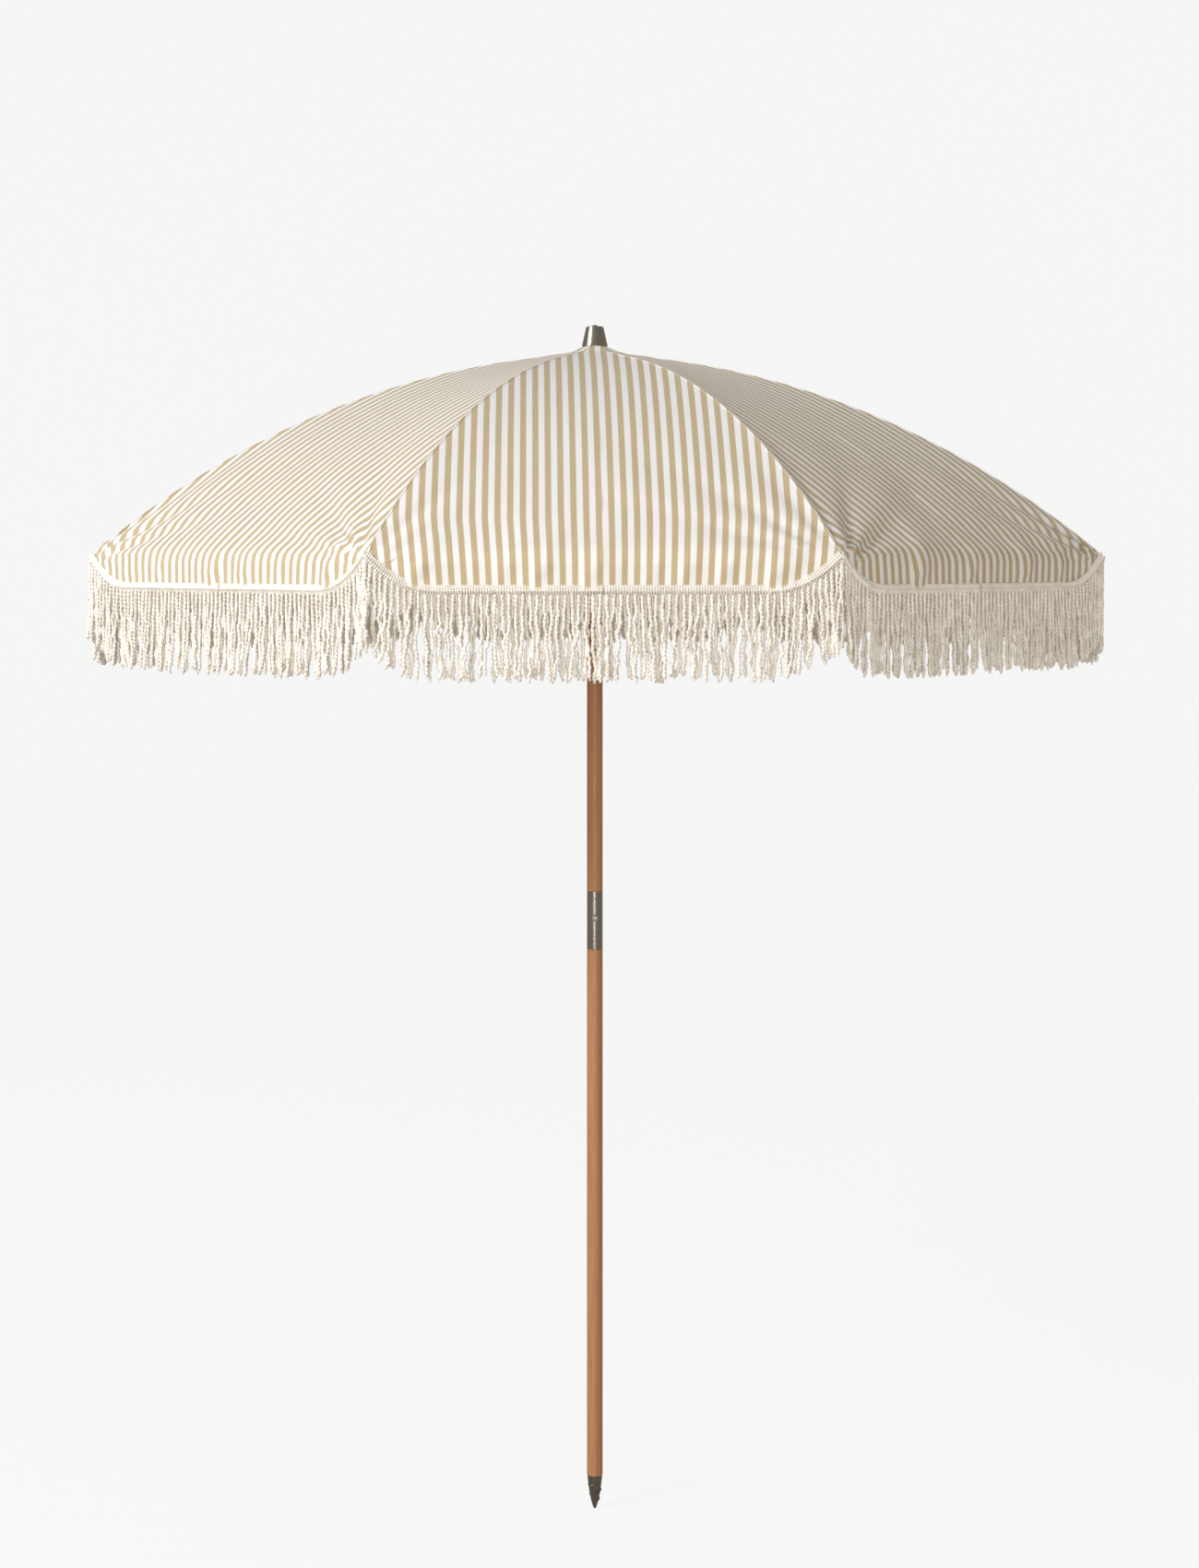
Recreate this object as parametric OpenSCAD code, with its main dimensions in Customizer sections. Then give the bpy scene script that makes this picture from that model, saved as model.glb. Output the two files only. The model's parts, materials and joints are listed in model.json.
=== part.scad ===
// Beach umbrella: two-part wooden pole with a ground screw, push-button joint, runner, crown,
// eight ribs on forked stretchers, an eight-panel canopy in half panels, and a hanging fringe.
// Millimetres, +Z up, origin at the bottom of the ground screw on the pole's axis, front = -Y.

/* [Canopy] */
// Distance from the pole's axis to a canopy corner, at the middle of the fringe
corner_r = 897; // [760:1:1100]
// Height of the rib hinges above the canopy's corners
canopy_rise = 348; // [290:1:430]
// How far each rib curves from its hinge to its tip, in degrees
rib_bend = 35.5; // [20:0.5:40]
// Thickness of the canopy's cloth solid
cloth_t = 1.5; // [1:0.1:2]
// How far the middle of a panel sags below a straight line between its ribs
cloth_sag = 8; // [0:0.5:14]
// Drop of the hem below the canopy's corners, along a panel's side
hem_drop = 54; // [40:1:70]
// Length along the hem over which it rises to each corner
hem_rise_len = 58; // [40:1:80]
// Height of the trim and the fringe cords together
fringe_h = 131; // [90:1:160]
// Thickness of the fringe
fringe_t = 6; // [4:0.5:8]

/* [Pole] */
// Diameter of the pole, its joint sleeve and its ferrule
pole_d = 28; // [24:0.5:34]
// Length of the metal ground screw
auger_len = 60.5; // [48:0.5:80]
// Visible length of the lower wooden pole
lower_len = 937.5; // [760:0.5:1130]
// Height of the ferrule's collar
collar_h = 15; // [10:0.5:22]
// Length of the joint sleeve
sleeve_len = 88; // [78:0.5:110]
// Visible length of the upper wooden pole, up to the roof of the crown's socket
upper_len = 948; // [800:0.5:1130]
// Wall of the joint sleeve
sleeve_wall = 1.4; // [1:0.1:2]
// Wall of the ferrule's spigot
spigot_wall = 1.5; // [1:0.1:2]
// Length of the spigot inside the sleeve
spigot_len = 55; // [48:0.5:60]

/* [Frame] */
// Diameter of a rib's rod
rib_d = 4.5; // [3.5:0.1:5]
// Diameter of a stretcher's rod
stretcher_d = 4.4; // [3.5:0.1:4.5]
// Length of a stretcher between its two pivots
stretcher_len = 460; // [430:1:520]
// Distance along a rib from its hinge to the stretcher's pivot
pivot_reach = 399; // [360:1:440]
// Length of the fork prongs at the outer end of a stretcher
prong_len = 78; // [60:1:100]
// Distance from the pole's surface out to the circle of rib hinges in the crown
crown_hinge_out = 8; // [7.5:0.1:10]
// Distance from the pole's surface out to the circle of stretcher hinges in the runner
runner_hinge_out = 7.3; // [7:0.1:10]
// Radius of each hinge pin
hinge_pin_r = 1.25; // [1:0.05:1.4]
// Height of the runner's barrel
runner_h = 56; // [40:1:80]

/* [Finial] */
// Diameter of the finial's base
finial_base_d = 46; // [40:0.5:54]
// Diameter of the finial's top
finial_top_d = 30; // [24:0.5:36]
// Height of the finial's metal cone
finial_h = 35; // [28:0.5:45]

/* [Ground screw] */
// Pitch of the screw's thread
thread_pitch = 16.2; // [12:0.1:18]
// How far the thread stands out of the screw's body
thread_depth = 1.8; // [1:0.1:2]
// Number of turns of the thread
thread_turns = 2.2; // [1.5:0.1:2.4]

/* [Push button] */
// Radius of the button
button_r = 3.6; // [3:0.1:4]
// Height of the button above the ferrule's collar
button_up = 41; // [36:0.5:44]
// How far the raised ring round the button stands proud of the sleeve
ring_proud = 1.2; // [0.6:0.1:1.6]
// How far the button's face lies below the raised ring
button_sunk = 0.5; // [0.2:0.1:0.8]

/* [Clearances] */
// Radial clearance of a hinge pin in its eye
pin_clear = 0.05; // [0.02:0.01:0.1]
// Gap on each side of an eye in its slot
slot_clear = 0.3; // [0.2:0.05:0.5]
// Radial clearance of the runner on the pole
runner_clear = 0.5; // [0.3:0.05:0.8]
// Radial clearance of the spigot in the sleeve
spigot_clear = 0.1; // [0.05:0.01:0.2]
// Gap between cloth solids and what they lie next to
cloth_clear = 0.35; // [0.3:0.05:0.5]

/* [Hidden] */
$fn = 48;
eps = 0.01;

wood = "#a97c50";
metal = "#8b877d";
dark_metal = "#5f5c55";
cream = "#f3f0e6";
cloth_beige = "#d6c7a6";

// Ribs 1 and 2 stand each side of the front panel; the panels follow anticlockwise from above.
rib_count = 8;
step_a = 360 / rib_count;
half_a = step_a / 2;
function rib_az(i) = -90 - half_a + (i - 1) * step_a;
function panel_az(i) = rib_az(i) + half_a;

// Heights up the pole
pole_r = pole_d / 2;
crown_hinge_r = pole_r + crown_hinge_out;
runner_hinge_r = pole_r + runner_hinge_out;
lower_top = auger_len + lower_len;
collar_top = lower_top + collar_h;
sleeve_top = collar_top + sleeve_len;
upper_top = sleeve_top + upper_len;
hinge_z = upper_top + 3;
corner_z = hinge_z - canopy_rise;

// A rib is an arc from its hinge in the crown to its tip under a canopy corner.
tip_ball_r = 3;
tip_r = corner_r - fringe_t / 2 / cos(half_a) - cloth_clear - tip_ball_r;
tip_drop = tip_ball_r + 1;
rib_dx = tip_r - crown_hinge_r;
rib_dz = canopy_rise + tip_drop;
rib_chord = norm([rib_dx, rib_dz]);
rib_slope = atan2(rib_dz, rib_dx);
rib_start = rib_slope - rib_bend / 2;
rib_end = rib_slope + rib_bend / 2;
rib_R = rib_chord / 2 / sin(rib_bend / 2);
rib_len = rib_R * rib_bend * PI / 180;
function arc_slope(l) = rib_start + l / rib_R * 180 / PI;
function rib_pt(l, lift = 0) = let (a = arc_slope(l), r = rib_R + lift) [
    crown_hinge_r - rib_R * sin(rib_start) + r * sin(a),
    hinge_z - rib_R * cos(rib_start) + r * cos(a)
];

// A stretcher runs from the runner to its pivot on the rib.
pivot = rib_pt(pivot_reach);
runner_z = pivot.y - sqrt(pow(stretcher_len, 2) - pow(pivot.x - runner_hinge_r, 2));
stretcher_up = asin((pivot.y - runner_z) / stretcher_len);

// Eyes and slots
eye_r = 3.4;
lug_r = 4.2;
slot_w = max(rib_d, stretcher_d) + 0.1 + 2 * slot_clear;
eye_w = slot_w - 2 * slot_clear;
pin_len = slot_w + 6;

// Crown
crown_r = crown_hinge_r + 3;
crown_bottom = upper_top - 11;
slot_top = hinge_z + eye_r + 0.8;
crown_neck_r = crown_hinge_r - 4;
crown_top = hinge_z + 13.4;
crown_boss_r = 11;
finial_z = hinge_z + 20;
screw_r = 3;

// Cloth: the top edge hides under the washer, then it follows the ribs to the corners.
cloth_in_r = crown_boss_r + 2;
neck_l = 55;
cloth_rows = 15;
cloth_cols = 4;
hem_half = corner_r * sin(half_a);
hem_inner = (corner_r - fringe_t / 2 / cos(half_a)) * cos(half_a);
cloth_end_r = (hem_inner - cloth_clear) / cos(half_a);
cloth_end_l = rib_len * (cloth_end_r - crown_hinge_r) / (tip_r - crown_hinge_r);
cloth_row_len = (cloth_end_l - neck_l) / (cloth_rows - 4);
cloth_lift = lug_r + cloth_clear + 0.4 + pow(cloth_row_len, 2) / 8 / rib_R;

/* Profile of the cloth over a rib: distance from the pole's axis and height of its lower face */
function cloth_profile(k) =
    k == 0 ? [cloth_in_r, crown_top + cloth_clear]
    : k == 1 ? [crown_neck_r, crown_top + cloth_clear - 1]
    : k == 2 ? [crown_r + 6, slot_top + 5]
    : let (p = rib_pt(neck_l + (cloth_end_l - neck_l) * (k - 3) / (cloth_rows - 4), cloth_lift))
      [min(p.x, cloth_end_r), p.y];
function cloth_dip(k) = k < 3 ? 0 : cloth_sag * sin(180 * (k - 3) / (cloth_rows - 4));

/* Point of a half panel in its panel's frame: +X along the panel's middle, y from the rib to 0 */
function cloth_pt(k, u, up) = let (
    p = cloth_profile(k),
    y = -(cloth_clear / 2 + (p.x * sin(half_a) - cloth_clear) * (1 - u))
) [p.x * cos(half_a), y, p.y - cloth_dip(k) * u * (2 - u) + up];

button_z = collar_top + button_up;
spigot_r = pole_r - sleeve_wall - spigot_clear;
spigot_bore = spigot_r - spigot_wall;
tenon_r = pole_r - sleeve_wall;
tenon_bottom = collar_top + spigot_len + 3;
sleeve_rivet_z = sleeve_top - 13;
collar_tenon = 12;
auger_tang_r = 6;
auger_tang_h = 40;
cross_pin_r = 1.5;
catch_len = 50;
catch_top = runner_z - runner_h + 8 - 0.4;
catch_foot = catch_top - catch_len;
catch_y = -pole_r + 4;

module around(i) { rotate([0, 0, rib_az(i)]) children(); }
module along_x(z, y = 0) { translate([0, y, z]) rotate([0, 90, 0]) children(); }
module along_front(z) { translate([0, 0, z]) rotate([90, 0, 0]) children(); }
module tangent_cyl(r, w, x, z) { translate([x, 0, z]) rotate([90, 0, 0]) cylinder(r = r, h = w, center = true); }
module rod_with_chamfer(r, z0, z1, c) {
    rotate_extrude() polygon([[0, z0], [r - c, z0], [r, z0 + c], [r, z1 - c], [r - c, z1], [0, z1]]);
}

module lower_pole() {
    color(wood) difference() {
        union() {
            rod_with_chamfer(pole_r, auger_len, lower_top, 0.8);
            translate([0, 0, lower_top - eps]) cylinder(r = spigot_bore, h = collar_tenon + eps);
        }
        translate([0, 0, auger_len - eps]) cylinder(r = auger_tang_r, h = auger_tang_h + 1);
        along_x(auger_len + auger_tang_h / 2) cylinder(r = cross_pin_r, h = pole_d + 2, center = true);
        along_x(lower_top + collar_tenon / 2) cylinder(r = cross_pin_r, h = pole_d + 2, center = true);
    }
}

// Body of the ground screw: radius at each height, as shares of its length from the tip up
auger_profile = [[0.25, 0.05], [0.35, 0.12], [0.51, 0.245], [0.675, 0.41], [0.77, 0.535], [0.885, 0.72], [0.985, 0.93], [1, 1]];
auger_top_r = pole_r - 0.7;
function auger_r(t) = lookup(t, [for (p = auger_profile) [p.y, p.x * auger_top_r]]);
thread_from = 0.15 * auger_len;
thread_steps = 14;
thread_w = 1.6;

/* The thread is a three-sided ridge swept up a right-handed helix. */
module auger_thread() {
    n = round(thread_turns * thread_steps);
    rings = [for (j = [0 : n]) let (
        a = 180 + 360 * j / thread_steps,
        z = thread_from + thread_pitch * j / thread_steps,
        r = auger_r(z / auger_len),
        out = min(r + thread_depth * min(1, j / 3, (n - j) / 3 + 0.15), pole_r - 0.15)
    ) each [
        [(r - 1) * cos(a), (r - 1) * sin(a), z - thread_w],
        [out * cos(a), out * sin(a), z],
        [(r - 1) * cos(a), (r - 1) * sin(a), z + thread_w]
    ]];
    sides = [for (j = [0 : n - 1], k = [0 : 2]) let (b = 3 * j, m = (k + 1) % 3)
        each [[b + k, b + m, b + 3 + m], [b + k, b + 3 + m, b + 3 + k]]];
    polyhedron(rings, concat([[0, 2, 1], [3 * n, 3 * n + 1, 3 * n + 2]], sides));
}

module ground_auger() {
    color(dark_metal) difference() {
        union() {
            rotate_extrude() polygon(concat(
                [[0, 0], [0.12 * auger_top_r, 0], [0.2 * auger_top_r, 0.02 * auger_len]],
                [for (p = auger_profile) [p.x * auger_top_r, p.y * auger_len]],
                [[auger_tang_r, auger_len], [auger_tang_r, auger_len + auger_tang_h], [0, auger_len + auger_tang_h]]
            ));
            auger_thread();
        }
        along_x(auger_len + auger_tang_h / 2) cylinder(r = cross_pin_r, h = pole_d, center = true);
    }
}

module auger_pin() {
    color(metal) along_x(auger_len + auger_tang_h / 2) cylinder(r = cross_pin_r, h = pole_d - 0.8, center = true);
}

module ferrule() {
    color(metal) difference() {
        union() {
            rod_with_chamfer(pole_r, lower_top, collar_top, 0.4);
            translate([0, 0, collar_top - eps]) cylinder(r = spigot_r, h = spigot_len + eps);
        }
        translate([0, 0, lower_top - eps]) cylinder(r = spigot_bore, h = collar_h + spigot_len + 1);
        along_x(lower_top + collar_tenon / 2) cylinder(r = cross_pin_r, h = pole_d + 2, center = true);
        along_front(button_z) cylinder(r = button_r + pin_clear, h = pole_d);
    }
}

module ferrule_pin() {
    color(metal) along_x(lower_top + collar_tenon / 2) cylinder(r = cross_pin_r, h = pole_d - 0.8, center = true);
}

button_back = spigot_bore - 2.2;
ring_r = button_r + 4.6;
ring_foot = sqrt(pow(pole_r, 2) - pow(ring_r, 2)) - 0.2;
module snap_button() {
    face = pole_r + ring_proud - button_sunk;
    color(metal) along_front(button_z) union() {
        translate([0, 0, button_back]) cylinder(r = button_r, h = face - 1 - button_back);
        translate([0, 0, face - 1 - eps]) cylinder(r1 = button_r, r2 = button_r - 1, h = 1 + eps);
        translate([0, 0, button_back]) cylinder(r = button_r + 0.8, h = 1);
    }
}

/* A V of spring strip: one leg behind the button, the other on the far wall of the spigot. */
module snap_spring() {
    strip = 0.8;
    half_w = 3;
    near = -button_back + 0.05;
    far = sqrt(pow(spigot_bore, 2) - pow(half_w, 2)) - 0.1;
    low = button_z - 24;
    color(metal) translate([half_w, 0, 0]) rotate([0, -90, 0]) linear_extrude(2 * half_w) polygon([
        [button_z + 4, near], [button_z + 4, near + strip], [button_z - 4, near + strip],
        [low + 1.6, 0], [button_z + 4, far - strip], [button_z + 4, far], [low, 0.6], [low, -0.6],
        [button_z - 4.4, near]
    ]);
}

module upper_pole() {
    color(wood) difference() {
        union() {
            rod_with_chamfer(pole_r, sleeve_top, upper_top, 0.5);
            translate([0, 0, tenon_bottom]) cylinder(r = tenon_r, h = sleeve_top - tenon_bottom + eps);
        }
        along_front(sleeve_rivet_z) translate([0, 0, -pole_d / 2 - 1]) cylinder(r = cross_pin_r, h = pole_d + 2);
        translate([0, 0, upper_top - 30]) cylinder(r = screw_r, h = 31);
        translate([-2.6, -pole_r - 1, catch_foot - 4]) cube([5.2, pole_r - 3, catch_len + 6]);
        along_x(catch_foot, catch_y) cylinder(r = 1, h = pole_d, center = true);
    }
}

module joint_sleeve() {
    color(metal) difference() {
        union() {
            rod_with_chamfer(pole_r, collar_top, sleeve_top, 0.3);
            along_front(button_z) translate([0, 0, ring_foot])
                cylinder(r1 = ring_r, r2 = button_r + 1.1, h = pole_r + ring_proud - ring_foot);
        }
        translate([0, 0, collar_top - 1]) cylinder(r = tenon_r, h = sleeve_len + 2);
        along_front(button_z) cylinder(r = button_r + 0.2, h = pole_d);
        along_front(sleeve_rivet_z) translate([0, 0, -pole_d / 2 - 1]) cylinder(r = cross_pin_r, h = pole_d + 2);
    }
}

module sleeve_rivet() {
    color(dark_metal) along_front(sleeve_rivet_z) translate([0, 0, -pole_r + 0.3]) union() {
        cylinder(r = cross_pin_r, h = pole_d - 0.3);
        translate([0, 0, pole_d - 0.3 - eps]) cylinder(r1 = cross_pin_r, r2 = cross_pin_r - 0.6, h = 0.4);
    }
}

module hinge_slots(x_from, z0, z1) {
    for (i = [1 : rib_count]) around(i) translate([x_from, -slot_w / 2, z0]) cube([20, slot_w, z1 - z0]);
}

module crown() {
    color("#3c3a37") difference() {
        rotate_extrude() polygon([
            [0, crown_bottom], [crown_r, crown_bottom], [crown_r, slot_top - 0.5],
            [crown_neck_r, crown_top - 1.4], [crown_boss_r, crown_top - 1.4], [crown_boss_r, finial_z],
            [0, finial_z]
        ]);
        translate([0, 0, crown_bottom - 1]) cylinder(r = pole_r, h = upper_top - crown_bottom + 1);
        cylinder(r = screw_r, h = finial_z + 1);
        hinge_slots(pole_r + 3.6, crown_bottom - 1, slot_top);
        for (i = [1 : rib_count]) around(i) tangent_cyl(hinge_pin_r, pin_len, crown_hinge_r, hinge_z);
    }
}

module crown_pins() {
    color(metal) for (i = [1 : rib_count]) around(i) tangent_cyl(hinge_pin_r, pin_len, crown_hinge_r, hinge_z);
}

module cloth_washer() {
    color(cream) translate([0, 0, crown_top + 2 * cloth_clear + cloth_t + 0.3]) difference() {
        cylinder(r = crown_neck_r + 2.5, h = finial_z - crown_top - 2 * cloth_clear - cloth_t - 0.5);
        translate([0, 0, -1]) cylinder(r = crown_boss_r + 0.1, h = finial_z);
    }
}

module finial() {
    base = finial_base_d / 2;
    top = finial_top_d / 2;
    color(metal) difference() {
        rotate_extrude() polygon([
            [0, finial_z], [base - 0.6, finial_z], [base, finial_z + 0.6],
            [top + 0.7, finial_z + finial_h - 1.2], [top - 0.6, finial_z + finial_h],
            [screw_r + 2.5, finial_z + finial_h + 1], [0, finial_z + finial_h + 1]
        ]);
        translate([0, 0, finial_z - 1]) cylinder(r = screw_r, h = finial_h + 3);
    }
}

module finial_screw() {
    top = finial_z + finial_h + 1;
    color(metal) rotate_extrude() polygon([
        [0, upper_top - 25], [screw_r - 1, upper_top - 25], [screw_r, upper_top - 23], [screw_r, top],
        [screw_r + 2, top], [screw_r + 1.6, top + 1.2], [screw_r, top + 2], [0, top + 2]
    ]);
}

module catch_pin() {
    color(metal) along_x(catch_foot, catch_y) cylinder(r = 1, h = 2 * sqrt(pow(pole_r, 2) - pow(catch_y - 1, 2)) - 0.4, center = true);
}

/* A flat steel catch: an eye at its foot, a leaf, and a nose that props the open runner. */
module catch() {
    leaf = 1.2;
    nose = 3.2;
    back = catch_y + leaf / 2;
    color(metal) difference() {
        translate([2.2, 0, 0]) rotate([0, -90, 0]) linear_extrude(4.4) union() {
            translate([catch_foot, catch_y]) circle(r = 2.2);
            polygon([
                [catch_foot, back], [catch_foot, back - leaf], [catch_top - 14, back - leaf],
                [catch_top - 12, -pole_r], [catch_top - 3, -pole_r - nose], [catch_top, -pole_r - nose],
                [catch_top, back]
            ]);
        }
        along_x(catch_foot, catch_y) cylinder(r = 1 + pin_clear, h = 10, center = true);
    }
}

module runner() {
    top = runner_z + eye_r + 1.4;
    bottom = runner_z - runner_h + 8;
    bore = pole_r + runner_clear;
    wall = bore + 2.9;
    rim = runner_hinge_r + 3.6;
    color("#3c3a37") difference() {
        rotate_extrude() polygon([
            [bore, bottom], [wall + 2.6, bottom], [wall + 3.4, bottom + 1], [wall + 3.4, bottom + 7],
            [wall, bottom + 10], [wall, runner_z - eye_r - 6], [rim - 1, runner_z - eye_r - 2.6],
            [rim, runner_z - eye_r - 1.6], [rim, top], [wall, top], [wall, top + 5], [wall - 1, top + 6],
            [bore, top + 6]
        ]);
        hinge_slots(wall, runner_z - eye_r - 0.6, top + 7);
        for (i = [1 : rib_count]) around(i) tangent_cyl(hinge_pin_r, pin_len, runner_hinge_r, runner_z);
    }
}

module runner_pins() {
    color(metal) for (i = [1 : rib_count]) around(i) tangent_cyl(hinge_pin_r, pin_len, runner_hinge_r, runner_z);
}

/* A spring-steel rib: eye, curved rod, lug at the stretcher's pivot and a ball in the corner pocket */
module rib(i) {
    rod_from = 2.5;
    a0 = arc_slope(rod_from);
    lug = rib_pt(pivot_reach);
    tip = rib_pt(rib_len);
    centre = [crown_hinge_r - rib_R * sin(rib_start), hinge_z - rib_R * cos(rib_start)];
    color("#b9b6ae") around(i) difference() {
        union() {
            tangent_cyl(eye_r, eye_w, crown_hinge_r, hinge_z);
            translate([centre.x, 0, centre.y]) rotate([90, 0, 0]) rotate([0, 0, 90 - rib_end])
                rotate_extrude(angle = rib_end - a0) translate([rib_R, 0]) circle(d = rib_d);
            tangent_cyl(lug_r, eye_w, lug.x, lug.y);
            translate([tip.x, 0, tip.y]) sphere(r = tip_ball_r);
        }
        tangent_cyl(hinge_pin_r + pin_clear, 2 * eye_w, crown_hinge_r, hinge_z);
    }
}

/* A stretcher lies along +X from its runner eye; its fork straddles the rib's lug. */
prong_t = 1.5;
module stretcher(i) {
    root = stretcher_len - prong_len;
    prong_in = eye_w / 2 + slot_clear + 0.2;
    color("#b9b6ae") around(i) translate([runner_hinge_r, 0, runner_z]) rotate([0, -stretcher_up, 0]) difference() {
        union() {
            tangent_cyl(eye_r, eye_w, 0, 0);
            translate([2.4, 0, 0]) rotate([0, 90, 0]) cylinder(d = stretcher_d, h = root - 1);
            translate([root - 8, -prong_in - prong_t, -2.6]) cube([9, 2 * (prong_in + prong_t), 5.2]);
            for (s = [-1, 1]) translate([0, s * (prong_in + prong_t / 2), 0]) {
                translate([root, -prong_t / 2, -2.6]) cube([prong_len, prong_t, 5.2]);
                tangent_cyl(3.6, prong_t, stretcher_len, 0);
                translate([0, s * (prong_t / 2 + 0.4), 0]) tangent_cyl(2.4, 0.9, stretcher_len, 0);
            }
        }
        tangent_cyl(hinge_pin_r + pin_clear, 2 * eye_w, 0, 0);
    }
}

/* Half of a canopy panel as a closed curved sheet; side -1 is its left half seen from outside. */
module half_panel(i, side) {
    n = cloth_rows;
    m = cloth_cols;
    pts = [for (up = [0, cloth_t], k = [0 : n - 1], c = [0 : m - 1]) cloth_pt(k, c / (m - 1), up)];
    function at(layer, k, c) = layer * n * m + k * m + c;
    function quad(a, b, c, d) = [[a, b, c], [a, c, d]];
    faces = concat(
        [for (k = [0 : n - 2], c = [0 : m - 2])
            each quad(at(0, k, c), at(0, k + 1, c), at(0, k + 1, c + 1), at(0, k, c + 1))],
        [for (k = [0 : n - 2], c = [0 : m - 2])
            each quad(at(1, k, c), at(1, k, c + 1), at(1, k + 1, c + 1), at(1, k + 1, c))],
        [for (k = [0 : n - 2]) each quad(at(0, k, 0), at(1, k, 0), at(1, k + 1, 0), at(0, k + 1, 0))],
        [for (k = [0 : n - 2]) each quad(at(0, k, m - 1), at(0, k + 1, m - 1), at(1, k + 1, m - 1), at(1, k, m - 1))],
        [for (c = [0 : m - 2]) each quad(at(0, 0, c), at(0, 0, c + 1), at(1, 0, c + 1), at(1, 0, c))],
        [for (c = [0 : m - 2]) each quad(at(0, n - 1, c), at(1, n - 1, c), at(1, n - 1, c + 1), at(0, n - 1, c + 1))]
    );
    color(cloth_beige) rotate([0, 0, panel_az(i)]) mirror([0, side > 0 ? 1 : 0, 0]) polyhedron(pts, faces);
}

/* Valance, trim and fringe round one corner: a thin wall that follows the hem both ways, mitred at the rib */
function ease(t) = let (c = max(0, min(1, t))) c * c * (3 - 2 * c);
fringe_steps = 6;
module fringe(i) {
    top = corner_z + 2;
    end = hem_half - cloth_clear / 2;
    low = corner_z - fringe_h;
    face = concat(
        [[-fringe_t, top], [-fringe_t, low], [0, low]],
        [for (k = [1 : fringe_steps]) [hem_rise_len * k / fringe_steps, low - hem_drop * ease(k / fringe_steps)]],
        [[end, low - hem_drop], [end, top]]
    );
    color(cream) for (side = [-1, 1]) intersection() {
        rotate([0, 0, rib_az(i) - side * half_a]) translate([hem_inner, side * hem_half, 0])
            mirror([0, side > 0 ? 1 : 0, 0]) rotate([90, 0, 90]) linear_extrude(fringe_t) polygon(face);
        around(i) translate([0, side < 0 ? 0 : -corner_r, 0]) cube([2 * corner_r, corner_r, 2 * corner_z]);
    }
}

lower_pole();
ground_auger();
auger_pin();
ferrule();
ferrule_pin();
snap_button();
snap_spring();
upper_pole();
joint_sleeve();
sleeve_rivet();
crown();
crown_pins();
finial();
finial_screw();
cloth_washer();
catch_pin();
runner();
runner_pins();
catch();
for (i = [1 : rib_count]) {
    rib(i);
    stretcher(i);
    half_panel(i, -1);
    half_panel(i, 1);
    fringe(i);
}
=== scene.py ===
"""Beach umbrella: striped canvas canopy with a braided heading and twisted cotton fringe, on a beech pole."""

import json
import math

import bpy
import numpy as np
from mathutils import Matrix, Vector, noise


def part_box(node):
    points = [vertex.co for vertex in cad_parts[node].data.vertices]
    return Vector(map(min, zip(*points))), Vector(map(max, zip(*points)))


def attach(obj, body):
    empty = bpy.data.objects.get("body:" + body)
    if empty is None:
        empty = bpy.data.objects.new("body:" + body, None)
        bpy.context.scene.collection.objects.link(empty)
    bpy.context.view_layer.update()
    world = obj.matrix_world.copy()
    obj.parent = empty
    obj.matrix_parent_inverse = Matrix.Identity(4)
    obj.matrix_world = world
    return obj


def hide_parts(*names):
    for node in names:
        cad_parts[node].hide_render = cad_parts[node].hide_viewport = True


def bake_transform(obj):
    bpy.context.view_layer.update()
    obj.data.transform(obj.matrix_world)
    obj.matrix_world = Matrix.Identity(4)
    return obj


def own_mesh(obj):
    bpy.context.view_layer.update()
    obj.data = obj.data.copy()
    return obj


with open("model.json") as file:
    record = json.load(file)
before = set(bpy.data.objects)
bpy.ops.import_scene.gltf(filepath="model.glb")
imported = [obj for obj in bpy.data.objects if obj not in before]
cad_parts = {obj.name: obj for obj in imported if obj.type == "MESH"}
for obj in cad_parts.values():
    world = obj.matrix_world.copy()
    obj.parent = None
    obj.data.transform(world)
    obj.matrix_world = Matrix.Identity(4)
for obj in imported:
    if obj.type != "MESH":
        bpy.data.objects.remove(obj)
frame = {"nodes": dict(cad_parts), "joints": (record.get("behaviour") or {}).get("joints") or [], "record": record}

bl_info = {
    "name": "Beach Umbrella Maker",
    "version": (1, 0, 0),
    "blender": (4, 5, 0),
    "location": "3D Viewport > Sidebar > Umbrella",
    "description": "Dresses a framed beach umbrella with canvas, braid, fringe, stitches and finishes",
    "category": "Object",
}

# ---------------------------------------------------------------- the frame's own sizes, in metres
JOINTS = {j["name"]: j for j in frame["joints"]}
RIBS = 8
HALF = math.pi / RIBS
HINGE = JOINTS["rib_1_fold"]["pos_m"]
HINGE_R, HINGE_Z = math.hypot(HINGE[0], HINGE[1]), HINGE[2]
TIP = JOINTS["fringe_1_hang"]["pos_m"]
TIP_R, TIP_Z = math.hypot(TIP[0], TIP[1]), TIP[2]
FRINGE_LOW, FRINGE_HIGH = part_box("fringe_1")
FRINGE_HALF_THICK = 0.003
# from the pole to the middle of one side of the hem, and to one of its corners
HEM_REACH = -FRINGE_LOW.y - FRINGE_HALF_THICK
CORNER_R = HEM_REACH / math.cos(HALF)
HEM_HALF = CORNER_R * math.sin(HALF)
# rows of the valance's grid: all of them, and those of the facing sewn inside the eave
VALANCE_ROWS, FACING_ROWS, FACING_HEIGHT = 12, 4, 0.032


def rib_angle(i):
    """Compass angle of rib i from above; rib 9 is rib 1 again."""
    return math.radians(-90 + (i - 1) * 45) - HALF


def panel_angle(i):
    """Compass angle of the middle of panel i, which lies between ribs i and i + 1."""
    return rib_angle(i) + HALF


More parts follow.
